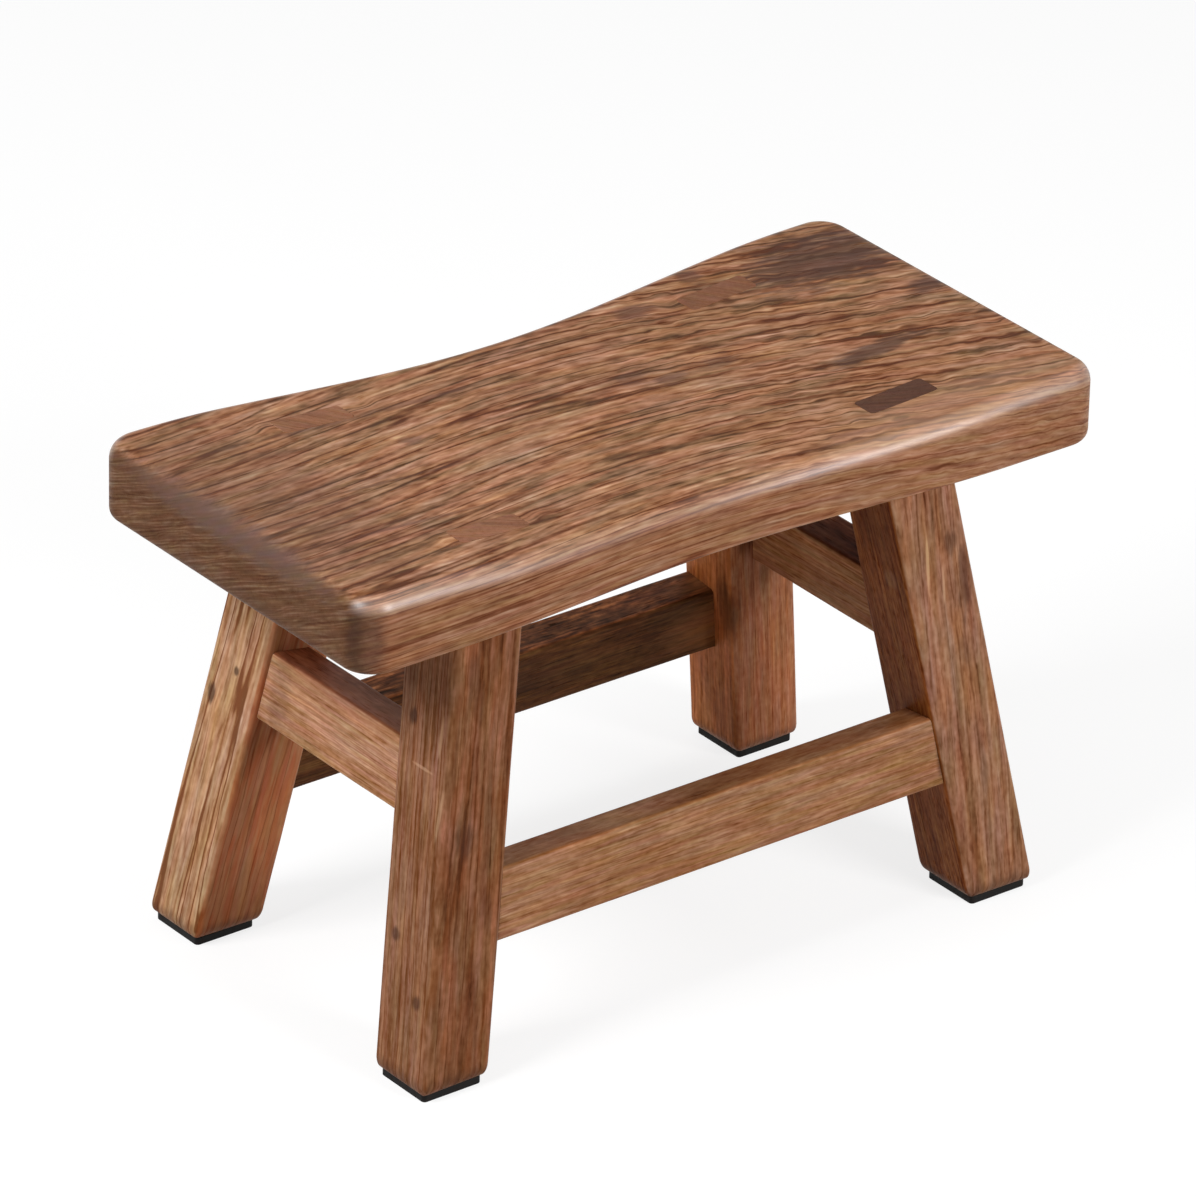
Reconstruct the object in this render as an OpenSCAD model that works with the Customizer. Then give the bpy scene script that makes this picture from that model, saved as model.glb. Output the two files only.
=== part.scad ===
// Low wooden bath stool: a dished and waisted seat board on four splayed legs.
// Each leg ends in a through tenon that comes out flush in the seat's top. Two low
// long rails tie the legs along the sides, and two higher short rails at the ends.
// Origin: centre of the footprint, on the floor. +X runs along the seat, +Z up.

/* [Seat] */
// Length of the seat board
seat_length = 304; // [260:2:360]
// Width of the seat board
seat_width = 148; // [130:2:180]
// Height of the seat's ends above the floor
seat_height = 188; // [172:2:240]
// Thickness of the board at its ends
seat_thickness = 27.5; // [25:0.5:34]
// How far the middle of the top is dished below its ends
dish_depth = 5.3; // [3:0.1:10]
// Length of the level strip at each end of the top
dish_margin = 10; // [4:1:24]
// How far each long side is drawn in at the middle
waist_depth = 6.5; // [0:0.5:10]
// Length of the stretch of a long side that is drawn in
waist_length = 230; // [160:5:235]
// Radius of the board's corners, seen from above
corner_radius = 12; // [9:1:16]
// Radius of the rounding along the top edge
top_round = 6.5; // [3:0.5:8]
// Radius of the rounding along the bottom edge
bottom_round = 3.5; // [2:0.5:6]

/* [Legs] */
// Side of a leg's square section
leg_size = 27.5; // [24:0.5:34]
// Angle that a leg leans out along the seat
splay_along = 9.6; // [4:0.2:11]
// Angle that a leg leans out across the seat
splay_across = 7.3; // [3:0.1:9]
// Distance from the seat's end to a leg's centre, at the seat's underside
leg_inset_along = 64; // [52:1:76]
// Distance from the seat's side to a leg's centre, at the seat's underside
leg_inset_across = 31; // [25:0.5:36]
// Radius of a leg's arrises
leg_arris = 2.5; // [1:0.5:4]
// Width of the chamfer round a leg's foot
foot_chamfer_width = 2; // [1:0.5:3]
// Height of the chamfer round a leg's foot
foot_chamfer_height = 4; // [3:0.5:6]

/* [Rails] */
// Thickness of a long rail
long_rail_thickness = 15; // [10:0.5:18]
// Height of a long rail's section
long_rail_height = 25; // [18:0.5:30]
// Height of a long rail's centre above the floor
long_rail_level = 58; // [45:0.5:62]
// How far a long rail sits back from the legs' outer faces
long_rail_setback = 2; // [1:0.5:6]
// Thickness of a short rail
short_rail_thickness = 16; // [10:0.5:18]
// Height of a short rail's section
short_rail_height = 25.5; // [18:0.5:30]
// Height of a short rail's centre above the floor
short_rail_level = 98; // [94:0.5:120]
// How far a short rail sits back from the legs' outer faces
short_rail_setback = 2.5; // [1:0.5:6]
// Radius of the rails' arrises
rail_arris = 1.5; // [0.5:0.5:3]

/* [Joints] */
// Thickness of a leg's through tenon, across the seat
tenon_thickness = 10; // [6:0.5:12]
// How far a through tenon is set out from the leg's middle, across the seat
tenon_offset = 8; // [0:0.5:8]
// Thickness of a rail's blind tenons
stub_thickness = 7; // [5:0.5:8]
// Shoulder above and below a rail's blind tenons
stub_shoulder = 4; // [2:0.5:6]
// Length of a rail's blind tenons inside the leg
stub_length = 14; // [8:1:18]
// Radius of the blind tenons' arrises
stub_arris = 0.5; // [0.3:0.1:1.5]
// Clearance on each side of a glued joint
joint_gap = 0.1; // [0.05:0.05:0.3]
// Room left for glue at the end of a blind mortise
glue_room = 0.6; // [0.3:0.1:1.5]

/* [Foot pads] */
// Side of a square foot pad
pad_size = 23.5; // [18:0.5:26]
// Thickness of a foot pad
pad_thickness = 3; // [2:0.5:5]
// Radius of a foot pad's corners
pad_corner = 1.5; // [0.5:0.5:3]

/* [Hidden] */

seat_colour = "#8a5a3c";
leg_colour = "#96593a";
rail_colour = "#a06a42";
pad_colour = "#1c1a1a";

// Which side a leg or rail is on, along X and along Y.
left = -1;
right = 1;
front = -1;
back = 1;

round_fn = 48;
seat_under = seat_height - seat_thickness;

// Where a leg's centre is at the seat's underside, from the middle of the stool.
leg_top_x = seat_length / 2 - leg_inset_along;
leg_top_y = seat_width / 2 - leg_inset_across;

// A reach that goes past every piece, for bars and cuts that something else ends.
far = seat_height + seat_length;

// The dish is two parabolas that meet at this share of its half length.
dish_turn = 0.74;
dish_half = seat_length / 2 - dish_margin;
waist_half = waist_length / 2;

// Points along the seat's straight sides, and in each rounded corner and edge.
side_steps = 36;
corner_steps = 6;
top_steps = 6;
bottom_steps = 4;

straight_half = seat_length / 2 - corner_radius;
side_x = [for (i = [0 : side_steps]) straight_half * (1 - 2 * i / side_steps)];
half_count = 2 * (corner_steps + 1) + side_steps - 1;
ring_count = 2 * half_count;

// Rise of the seat's top above its lowest line, at a distance x from the middle.
function dish_rise(x) =
    let (u = min(abs(x) / dish_half, 1))
    u < dish_turn
        ? dish_depth * u * u / dish_turn
        : dish_depth * (1 - (1 - u) * (1 - u) / (1 - dish_turn));

function top_z(x) = seat_height - dish_depth + dish_rise(x);

// How far a long side is drawn in at a distance x from the middle.
function waist(x) =
    abs(x) < waist_half ? waist_depth * (1 + cos(180 * x / waist_half)) / 2 : 0;

// Where a leg's centre line is at a height z, from the middle of the stool.
function leg_x(z) = leg_top_x + (seat_under - z) * tan(splay_along);
function leg_y(z) = leg_top_y + (seat_under - z) * tan(splay_across) / cos(splay_along);

// The seat's outline seen from above, drawn in by inset. The back half goes from the
// right end to the left, and the front half mirrors it.
function corner_points(side, inset) = [for (i = [0 : corner_steps])
    let (a = 90 * i / corner_steps + (side == right ? 0 : 90))
    [side * straight_half + (corner_radius - inset) * cos(a),
     seat_width / 2 - corner_radius + (corner_radius - inset) * sin(a)]];
function half_outline(inset) = concat(
    corner_points(right, inset),
    [for (i = [1 : side_steps - 1])
        [side_x[i], seat_width / 2 - waist(side_x[i]) - inset]],
    corner_points(left, inset)
);
function outline(inset) =
    let (half = half_outline(inset))
    concat(half, [for (i = [half_count - 1 : -1 : 0]) [half[i].x, -half[i].y]]);

// Rings of points up the board's edge: the bottom rounding, then the top one.
bottom_rings = [for (k = [0 : bottom_steps])
    let (a = 90 * k / bottom_steps)
    [for (p = outline(bottom_round * (1 - sin(a))))
        [p.x, p.y, seat_under + bottom_round * (1 - cos(a))]]];
top_rings = [for (k = [0 : top_steps])
    let (a = 90 * k / top_steps)
    [for (p = outline(top_round * (1 - cos(a))))
        [p.x, p.y, top_z(p.x) - top_round * (1 - sin(a))]]];
seat_rings = concat(bottom_rings, top_rings);

// The solid board, before its mortises are cut.
module seat_blank() {
    last = len(seat_rings) - 1;
    band_faces = [for (k = [0 : last - 1], i = [0 : ring_count - 1])
        let (j = (i + 1) % ring_count)
        [k * ring_count + j, k * ring_count + i,
         (k + 1) * ring_count + i, (k + 1) * ring_count + j]];
    bottom_faces = [for (i = [0 : half_count - 2])
        [i, i + 1, ring_count - 2 - i, ring_count - 1 - i]];
    top_faces = [for (face = bottom_faces)
        [for (i = [3 : -1 : 0]) last * ring_count + face[i]]];
    polyhedron(
        points = [for (r = seat_rings) each r],
        faces = concat(band_faces, bottom_faces, top_faces)
    );
}

// The space from the foot pads up to the seat's top, seen from the front.
module space_under_top() {
    rotate([90, 0, 0])
        linear_extrude(2 * far, center = true)
            polygon(concat([for (x = side_x) [x, top_z(x)]], [
                [-straight_half, pad_thickness],
                [straight_half, pad_thickness]
            ]));
}

module space_under_seat() {
    translate([-far, -far, pad_thickness])
        cube([2 * far, 2 * far, seat_under - pad_thickness]);
}

// A rectangle with round corners, centred.
module rounded_rectangle(width, depth, radius) {
    square([width - 2 * radius, depth], center = true);
    square([width, depth - 2 * radius], center = true);
    for (sx = [-1, 1], sy = [-1, 1])
        translate([sx * (width / 2 - radius), sy * (depth / 2 - radius)])
            circle(radius, $fn = round_fn);
}

// Turns what is made for the back right leg to another leg.
module for_leg(side, end) {
    mirror([side == left ? 1 : 0, 0, 0])
        mirror([0, end == front ? 1 : 0, 0])
            children();
}

// Moves to a leg's own frame: its centre line at the seat's underside, +Z up along it.
module along_leg() {
    translate([leg_top_x, leg_top_y, seat_under])
        rotate([splay_across, -splay_along, 0])
            children();
}

// A leg's section, grown all round by gap.
module leg_section(gap) {
    rounded_rectangle(leg_size + 2 * gap, leg_size + 2 * gap, leg_arris + gap);
}

// A leg's bar, past the floor and the seat's top.
module leg_bar() {
    linear_extrude(2 * far, center = true)
        leg_section(0);
}

// A leg's bar thinned to its through tenon, which is as wide as the leg along the seat.
module tenon_bar(gap) {
    linear_extrude(2 * far, center = true)
        intersection() {
            leg_section(gap);
            translate([0, tenon_offset])
                square([leg_size + 2 * gap, tenon_thickness + 2 * gap], center = true);
        }
}

// The four wedges of wood that are chamfered off round a leg's foot.
module foot_chamfers() {
    half_x = leg_size / (2 * cos(splay_along));
    half_y = leg_size / (2 * cos(splay_across));
    translate([leg_x(pad_thickness), leg_y(pad_thickness), pad_thickness])
        for (turn = [0 : 3])
            rotate([0, 0, 90 * turn])
                translate([(turn % 2 == 0 ? half_x : half_y) - foot_chamfer_width, 0, 0])
                    rotate([0, atan(foot_chamfer_width / foot_chamfer_height), 0])
                        translate([0, -leg_size, 0])
                            cube(2 * leg_size);
}

// What is beyond a leg's inner face, from a depth inside the leg outwards. One is for
// the rail along the seat and the other for the rail across it.
module beyond_face_along(depth) {
    translate([depth - leg_size / 2, -far, -far])
        cube(2 * far);
}

module beyond_face_across(depth) {
    translate([-far, depth - leg_size / 2, -far])
        cube(2 * far);
}

// The bar of the back long rail, past both of its legs.
module long_bar(thickness, height, arris) {
    translate([0, leg_y(long_rail_level)
        + (leg_size / 2 - long_rail_setback - long_rail_thickness / 2) / cos(splay_across),
        long_rail_level])
        rotate([splay_across, 0, 0])
            rotate([90, 0, 90])
                linear_extrude(2 * far, center = true)
                    rounded_rectangle(thickness, height, arris);
}

// The bar of the right short rail, past both of its legs.
module short_bar(thickness, height, arris) {
    translate([leg_x(short_rail_level)
        + (leg_size / 2 - short_rail_setback - short_rail_thickness / 2) / cos(splay_along),
        0, short_rail_level])
        rotate([0, -splay_along, 0])
            rotate([90, 0, 0])
                linear_extrude(2 * far, center = true)
                    rounded_rectangle(thickness, height, arris);
}

// The blind tenons' bars, which run right through a rail.
module long_stub_bar(gap) {
    long_bar(
        stub_thickness + 2 * gap,
        long_rail_height - 2 * stub_shoulder + 2 * gap,
        stub_arris + gap
    );
}

module short_stub_bar(gap) {
    short_bar(
        stub_thickness + 2 * gap,
        short_rail_height - 2 * stub_shoulder + 2 * gap,
        stub_arris + gap
    );
}

// The blind mortises in the back right leg.
module stub_mortises() {
    difference() {
        long_stub_bar(joint_gap);
        along_leg() beyond_face_along(stub_length + glue_room);
    }
    difference() {
        short_stub_bar(joint_gap);
        along_leg() beyond_face_across(stub_length + glue_room);
    }
}

module leg(side, end) {
    color(leg_colour)
        for_leg(side, end)
            difference() {
                union() {
                    intersection() {
                        along_leg() leg_bar();
                        space_under_seat();
                    }
                    intersection() {
                        along_leg() tenon_bar(0);
                        space_under_top();
                    }
                }
                foot_chamfers();
                stub_mortises();
            }
}

module seat() {
    color(seat_colour)
        difference() {
            seat_blank();
            for (side = [left, right], end = [front, back])
                for_leg(side, end)
                    along_leg()
                        tenon_bar(joint_gap);
        }
}

module long_rail(end) {
    color(rail_colour)
        for_leg(right, end) {
            difference() {
                long_bar(long_rail_thickness, long_rail_height, rail_arris);
                for (side = [left, right])
                    for_leg(side, back) along_leg() beyond_face_along(0);
            }
            difference() {
                long_stub_bar(0);
                for (side = [left, right])
                    for_leg(side, back) along_leg() beyond_face_along(stub_length);
            }
        }
}

module short_rail(side) {
    color(rail_colour)
        for_leg(side, back) {
            difference() {
                short_bar(short_rail_thickness, short_rail_height, rail_arris);
                for (end = [front, back])
                    for_leg(right, end) along_leg() beyond_face_across(0);
            }
            difference() {
                short_stub_bar(0);
                for (end = [front, back])
                    for_leg(right, end) along_leg() beyond_face_across(stub_length);
            }
        }
}

module foot_pad(side, end) {
    color(pad_colour)
        for_leg(side, end)
            translate([leg_x(pad_thickness), leg_y(pad_thickness), 0])
                linear_extrude(pad_thickness)
                    rounded_rectangle(pad_size, pad_size, pad_corner);
}

seat();
leg(left, front);  // leg_front_left
leg(right, front);  // leg_front_right
leg(left, back);  // leg_back_left
leg(right, back);  // leg_back_right
long_rail(front);  // rail_front
long_rail(back);  // rail_back
short_rail(left);  // rail_left
short_rail(right);  // rail_right
foot_pad(left, front);  // foot_pad_front_left
foot_pad(right, front);  // foot_pad_front_right
foot_pad(left, back);  // foot_pad_back_left
foot_pad(right, back);  // foot_pad_back_right
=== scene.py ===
# Low hardwood bath stool: a dished, waisted seat board on four splayed legs.
#
# Every visible piece is grown by a geometry tree that follows the joiner's own rules. A
# block is planed with its arrises eased, then bent to its place. The finishes are a
# streaked brown hardwood under satin lacquer, and moulded rubber under the feet.

import math

import bpy
from mathutils import Matrix, Vector


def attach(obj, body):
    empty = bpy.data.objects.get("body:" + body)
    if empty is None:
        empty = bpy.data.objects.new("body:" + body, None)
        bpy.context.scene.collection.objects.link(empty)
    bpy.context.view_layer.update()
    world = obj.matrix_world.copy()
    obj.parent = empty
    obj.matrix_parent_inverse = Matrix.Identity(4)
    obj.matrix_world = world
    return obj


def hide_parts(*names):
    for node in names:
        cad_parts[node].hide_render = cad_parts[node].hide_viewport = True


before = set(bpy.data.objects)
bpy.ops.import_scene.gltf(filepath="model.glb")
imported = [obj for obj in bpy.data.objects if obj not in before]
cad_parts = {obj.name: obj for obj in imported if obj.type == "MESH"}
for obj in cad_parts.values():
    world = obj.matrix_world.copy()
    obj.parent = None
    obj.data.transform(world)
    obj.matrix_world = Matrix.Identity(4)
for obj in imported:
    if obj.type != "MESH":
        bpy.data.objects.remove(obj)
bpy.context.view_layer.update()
scene = bpy.context.scene
MM = 0.001


def linear(code):
    """The linear colour of an sRGB hex value."""
    parts = [int(code[i:i + 2], 16) / 255 for i in (1, 3, 5)]
    return [c / 12.92 if c <= 0.04045 else ((c + 0.055) / 1.055) ** 2.4 for c in parts] + [1.0]


def add(tree, kind, values=(), **settings):
    """Adds a node with its settings, and sets or links its inputs by name or by place."""
    node = tree.nodes.new(kind)
    for key, value in settings.items():
        setattr(node, key, value)
    pairs = values.items() if isinstance(values, dict) else enumerate(values)
    for key, value in pairs:
        if isinstance(value, bpy.types.Node):
            value = next(s for s in value.outputs if s.enabled)
        if isinstance(value, bpy.types.NodeSocket):
            tree.links.new(value, node.inputs[key])
        else:
            node.inputs[key].default_value = value
    return node


def new_tree(name, inputs, outputs=("Mesh",), kind="GeometryNodeTree"):
    """A node tree with named inputs, given as name and socket type, and named outputs."""
    tree = bpy.data.node_groups.new(name, kind)
    for label, socket in inputs:
        tree.interface.new_socket(label, in_out="INPUT", socket_type=socket)
    for label in outputs:
        socket = "NodeSocketGeometry" if label == "Mesh" else "NodeSocketFloat"
        tree.interface.new_socket(label, in_out="OUTPUT", socket_type=socket)
    return tree, tree.nodes.new("NodeGroupInput").outputs


def floats(*labels):
    """Number inputs with these names, as new_tree takes them."""
    return [(label, "NodeSocketFloat") for label in labels]


def steps(tree, kind, value, *rest):
    """Adds nodes of one kind in a row. Each works on the one before and its own inputs."""
    for operation, *others in rest:
        value = add(tree, kind, [value, *others], operation=operation)
    return value


def passed(given, inputs, others):
    """The given sockets of these inputs, and others with them, by their names."""
    return {label: given[label] for label, _ in inputs} | others


def cleared(data):
    """The node tree of a new material or world, with nothing in it."""
    data.use_nodes = True
    data.node_tree.nodes.clear()
    return data.node_tree


def grow(name, tree, sizes):
    """Runs a tree once and keeps what it makes as a plain mesh object."""
    piece = bpy.data.objects.new(name, bpy.data.meshes.new(name))
    scene.collection.objects.link(piece)
    modifier = piece.modifiers.new("shape", "NODES")
    modifier.node_group = tree
    for item in tree.interface.items_tree:
        if item.in_out == "INPUT":
            modifier[item.identifier] = sizes[item.name]
    graph = bpy.context.evaluated_depsgraph_get()
    mesh = bpy.data.meshes.new_from_object(piece.evaluated_get(graph), depsgraph=graph)
    piece.modifiers.clear()
    piece.data = mesh
    mesh.name = name
    return piece


MATH = "ShaderNodeMath"
VECTOR = "ShaderNodeVectorMath"
JOIN = "ShaderNodeCombineXYZ"
SPLIT = "ShaderNodeSeparateXYZ"
GROUP = "GeometryNodeGroup"
NOISE = "ShaderNodeTexNoise"
MAP = "ShaderNodeMapping"
# Takes a value, the range that it comes from and the range that it goes to.
RANGE = "ShaderNodeMapRange"
EASED = {"interpolation_type": "SMOOTHSTEP"}
# Inputs that several trees share.
MESH = [("Mesh", "NodeSocketGeometry")]
LEAN = floats("Size", "Splay Along", "Splay Across", "Leg X", "Leg Y", "Seat Under")
DISH = floats("Seat Height", "Dish Depth", "Dish Half", "Dish Turn")
TENON = floats("Tenon Thickness", "Tenon Offset", "Tenon Arris")
HAND = floats("Depth", "Wave", "Seed")
FINISH = [("Finish", "NodeSocketMaterial")]
CORNER = floats("End", "Side") + FINISH
# Faces that meet at more than this angle, in radians, have a sharp edge between them.
SHARP = 0.7
# How much closer together a block's points stand at its edges than in its middle.
CROWD = 0.6


def block_tree():
    """A block on its base, centred, with round upright arrises and round end edges."""
    tree, given = new_tree("planed block", floats(
        "Width", "Depth", "Height", "Corner", "Top Round", "Bottom Round")
        + [(label, "NodeSocketInt") for label in ("Across", "Along", "Up")])
    cube = add(tree, "GeometryNodeMeshCube", {
        "Size": (2, 2, 2), "Vertices X": given["Across"], "Vertices Y": given["Along"],
        "Vertices Z": given["Up"],
    })
    place = add(tree, "GeometryNodeInputPosition")
    share = add(tree, VECTOR, [place], operation="ABSOLUTE")
    # Points stand closer together towards the edges, where the block is round.
    crowd = add(tree, VECTOR, {0: share, "Scale": -CROWD}, operation="SCALE")
    crowd = add(tree, VECTOR, [crowd, [1 + CROWD] * 3], operation="ADD")
    share = add(tree, VECTOR, [share, crowd], operation="MULTIPLY")
    size = add(tree, JOIN, [given["Width"], given["Depth"], given["Height"]])
    half = add(tree, VECTOR, {0: size, "Scale": 0.5}, operation="SCALE")
    reach = add(tree, VECTOR, [share, half], operation="MULTIPLY")
    corner = add(tree, JOIN, [given["Corner"], given["Corner"], 0.0])
    core = steps(tree, VECTOR, half, ("SUBTRACT", corner), ("MINIMUM", reach),
                 ("MULTIPLY", (1, 1, 0)))
    spare = steps(tree, VECTOR, reach, ("SUBTRACT", core), ("MULTIPLY", (1, 1, 0)))
    aim = add(tree, VECTOR, [spare], operation="NORMALIZE")
    spare = add(tree, SPLIT, [spare])
    radius = add(tree, MATH, [spare.outputs["X"], spare.outputs["Y"]], operation="MAXIMUM")
    signs = add(tree, VECTOR, [place], operation="SIGN")
    height = add(tree, VECTOR, [reach, signs], operation="MULTIPLY")
    height = add(tree, SPLIT, [height]).outputs["Z"]
    rise = add(tree, MATH, [given["Height"], 0.5], operation="MULTIPLY")

    # The end edges: a point in the rounded strip goes in and down onto a quarter circle.
    moves = []
    for end, sign in (("Top Round", 1.0), ("Bottom Round", -1.0)):
        flat = add(tree, MATH, [given["Corner"], given[end]], operation="SUBTRACT")
        out = steps(tree, MATH, radius, ("SUBTRACT", flat), ("MAXIMUM", 0.0))
        flat = add(tree, MATH, [rise, given[end]], operation="SUBTRACT")
        up = steps(tree, MATH, height, ("MULTIPLY", sign), ("SUBTRACT", flat), ("MAXIMUM", 0.0))
        both = add(tree, JOIN, [out, up, 0.0])
        both = add(tree, VECTOR, [both], operation="LENGTH")
        most = add(tree, MATH, [out, up], operation="MAXIMUM")
        keep = add(tree, MATH, [most, both], operation="DIVIDE")
        lose = add(tree, MATH, [1.0, keep], operation="SUBTRACT")
        inwards = add(tree, MATH, [out, lose], operation="MULTIPLY")
        down = add(tree, MATH, [up, lose], operation="MULTIPLY")
        moves.append((inwards, add(tree, MATH, [down, sign], operation="MULTIPLY")))
    for inwards, down in moves:
        radius = add(tree, MATH, [radius, inwards], operation="SUBTRACT")
        height = add(tree, MATH, [height, down], operation="SUBTRACT")
    height = add(tree, MATH, [height, rise], operation="ADD")
    flat = add(tree, VECTOR, {0: aim, "Scale": radius}, operation="SCALE")
    flat = steps(tree, VECTOR, flat, ("ADD", core), ("MULTIPLY", signs), ("MULTIPLY", (1, 1, 0)))
    upright = add(tree, JOIN, [0.0, 0.0, height])
    goal = add(tree, VECTOR, [flat, upright], operation="ADD")
    moved = add(tree, "GeometryNodeSetPosition", {"Geometry": cube, "Position": goal})
    add(tree, "NodeGroupOutput", [moved])
    return tree


def sanding_tree():
    """Takes up to Depth off a surface, unevenly, as planing and sanding by hand leave it."""
    tree, given = new_tree("hand sanding", MESH + HAND)
    place = add(tree, "GeometryNodeInputPosition")
    turns = add(tree, MATH, [1.0, given["Wave"]], operation="DIVIDE")
    noise = add(tree, NOISE, {
        "Vector": place, "W": given["Seed"], "Scale": turns, "Detail": 1.0,
    }, noise_dimensions="4D")
    cut = steps(tree, MATH, noise, ("MULTIPLY", given["Depth"]), ("MULTIPLY", -1.0))
    normal = add(tree, "GeometryNodeInputNormal")
    step = add(tree, VECTOR, {0: normal, "Scale": cut}, operation="SCALE")
    moved = add(tree, "GeometryNodeSetPosition", {"Geometry": given["Mesh"], "Offset": step})
    add(tree, "NodeGroupOutput", [moved])
    return tree


def dish_tree():
    """How far the seat's dished top lies below its ends, at a distance X from its middle.
    The dish is two parabolas, which meet at the share Dish Turn of its half length."""
    tree, given = new_tree("dish", floats("X") + DISH[1:], ["Fall"])
    share = add(tree, MATH, [given["X"]], operation="ABSOLUTE")
    share = add(tree, MATH, [share, given["Dish Half"]], operation="DIVIDE", use_clamp=True)
    inner = add(tree, MATH, [share, share], operation="MULTIPLY")
    inner = add(tree, MATH, [inner, given["Dish Turn"]], operation="DIVIDE")
    inner = add(tree, MATH, [1.0, inner], operation="SUBTRACT")
    outer = add(tree, MATH, [1.0, share], operation="SUBTRACT")
    outer = add(tree, MATH, [outer, outer], operation="MULTIPLY")
    rest = add(tree, MATH, [1.0, given["Dish Turn"]], operation="SUBTRACT")
    outer = add(tree, MATH, [outer, rest], operation="DIVIDE")
    past = add(tree, MATH, [share, given["Dish Turn"]], operation="GREATER_THAN")
    fall = add(tree, "ShaderNodeMix", {"Factor": past, "A": inner, "B": outer})
    fall = add(tree, MATH, [fall, given["Dish Depth"]], operation="MULTIPLY")
    add(tree, "NodeGroupOutput", [fall])
    return tree


def lean_tree():
    """Leans an upright block to a leg's splay, and keeps each of its levels level.
    Section is the block's own plan place, and Level the height that a point goes to."""
    tree, given = new_tree(
        "lean", MESH + [("Section", "NodeSocketVector")] + floats("Level") + LEAN[1:])
    tilt = {}
    for side in ("Along", "Across"):
        for part in ("SINE", "COSINE"):
            tilt[side, part] = add(tree, MATH, [given["Splay " + side]], operation=part)
    plan = add(tree, SPLIT, [given["Section"]])
    first = add(tree, MATH, [plan.outputs["X"], tilt["Along", "SINE"]], operation="MULTIPLY")
    second = steps(tree, MATH, tilt["Along", "COSINE"], ("MULTIPLY", tilt["Across", "SINE"]),
                   ("MULTIPLY", plan.outputs["Y"]))
    upright = add(tree, MATH, [tilt["Along", "COSINE"], tilt["Across", "COSINE"]],
                  operation="MULTIPLY")
    above = steps(tree, MATH, given["Level"], ("SUBTRACT", given["Seat Under"]),
                  ("SUBTRACT", first), ("SUBTRACT", second), ("DIVIDE", upright))
    goal = add(tree, JOIN, [plan.outputs["X"], plan.outputs["Y"], above])
    moved = add(tree, "GeometryNodeSetPosition", {"Geometry": given["Mesh"], "Position": goal})
    back = add(tree, MATH, [given["Splay Along"], -1.0], operation="MULTIPLY")
    turn = add(tree, JOIN, [given["Splay Across"], back, 0.0])
    centre = add(tree, JOIN, [given["Leg X"], given["Leg Y"], given["Seat Under"]])
    moved = add(tree, "GeometryNodeTransform", {
        "Geometry": moved, "Translation": centre, "Rotation": turn,
    })
    add(tree, "NodeGroupOutput", [moved])
    return tree


def tenon_tree(block, lean, dish):
    """The back right leg's through tenon, from Start up to the seat's top and past it."""
    tree, given = new_tree("through tenon", LEAN + DISH + TENON + floats("Gap", "Start", "Past"))
    grown = add(tree, MATH, [given["Gap"], 2.0], operation="MULTIPLY")
    width = add(tree, MATH, [given["Size"], grown], operation="ADD")
    depth = add(tree, MATH, [given["Tenon Thickness"], grown], operation="ADD")
    made = add(tree, GROUP, {
        "Width": width, "Depth": depth, "Height": 1.0, "Corner": given["Tenon Arris"],
        "Across": 33, "Along": 17, "Up": 13,
    }, node_tree=block)
    x, y, z = add(tree, SPLIT, [add(tree, "GeometryNodeInputPosition")]).outputs
    side = add(tree, MATH, [y, given["Tenon Offset"]], operation="ADD")
    section = add(tree, JOIN, [x, side, 0.0])
    # The dish is read where the tenon comes out, which the splay draws towards the middle.
    slope = add(tree, MATH, [given["Splay Along"]], operation="TANGENT")
    drift = steps(tree, MATH, given["Seat Height"], ("SUBTRACT", given["Seat Under"]),
                  ("SUBTRACT", given["Dish Depth"]), ("MULTIPLY", slope))
    out = steps(tree, MATH, given["Leg X"], ("SUBTRACT", drift), ("ADD", x))
    fall = add(tree, GROUP, passed(given, DISH[1:], {"X": out}), node_tree=dish)
    top = steps(tree, MATH, given["Seat Height"], ("SUBTRACT", fall), ("ADD", given["Past"]))
    level = add(tree, "ShaderNodeMix", {"Factor": z, "A": given["Start"], "B": top})
    leaned = add(tree, GROUP, passed(given, LEAN[1:], {
        "Mesh": made, "Section": section, "Level": level}), node_tree=lean)
    add(tree, "NodeGroupOutput", [leaned])
    return tree


def close_tree(tree, mesh, finish):
    """Ends a piece's tree: it is shaded smooth but for its sharp edges, and finished."""
    angle = add(tree, "GeometryNodeInputMeshEdgeAngle")
    sharp = add(tree, MATH, [angle, SHARP], operation="GREATER_THAN")
    smooth = add(tree, "GeometryNodeSetShadeSmooth", {0: mesh, "Shade Smooth": True})
    smooth = add(tree, "GeometryNodeSetShadeSmooth", {
        0: smooth, "Selection": sharp, "Shade Smooth": False,
    }, domain="EDGE")
    real = add(tree, "GeometryNodeRealizeInstances", [smooth])
    clad = add(tree, "GeometryNodeSetMaterial", {0: real, "Material": finish})
    add(tree, "NodeGroupOutput", [clad])


def quarter(tree, mesh, end, side):
    """Mirrors what is built at the back right to another corner, faces outwards."""
    turn = add(tree, JOIN, [end, side, 1.0])
    turned = add(tree, "GeometryNodeTransform", {"Geometry": mesh, "Scale": turn})
    odd = steps(tree, MATH, end, ("MULTIPLY", side), ("LESS_THAN", 0.0))
    return add(tree, "GeometryNodeFlipFaces", {0: turned, "Selection": odd})


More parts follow.
